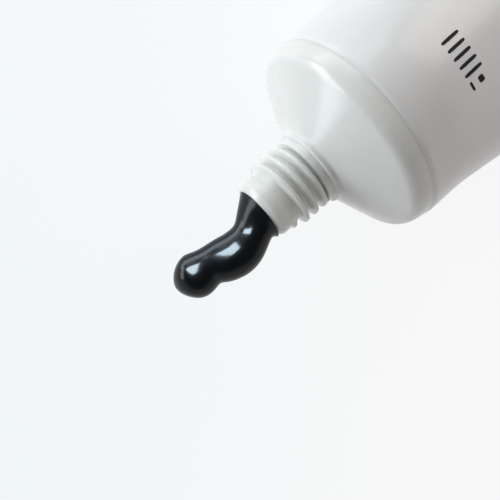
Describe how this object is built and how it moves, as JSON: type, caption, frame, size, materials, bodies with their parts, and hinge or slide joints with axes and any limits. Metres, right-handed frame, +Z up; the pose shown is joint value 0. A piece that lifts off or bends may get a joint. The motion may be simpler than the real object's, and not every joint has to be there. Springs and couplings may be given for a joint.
{
  "type": "toothpaste tube",
  "caption": "Soft plastic toothpaste tube with a moulded shoulder and threaded neck, a flat sealed end, and dark paste standing out of its open mouth, lying down.",
  "frame": {"origin": "on the surface the tube lies on, under the middle of its bounding box", "axes": "+X along the tube from the mouth to the sealed end, +Z up through the front face, +Y across the tube"},
  "size_m": [0.1536, 0.0596, 0.0391],
  "materials": {
    "sleeve": "satin white film",
    "head": "smooth moulded white, slightly translucent",
    "paste": "wet gloss"
  },
  "bodies": {
    "root": {"sleeve": "sleeve", "head": "head", "paste": "paste"}
  },
  "joints": []
}
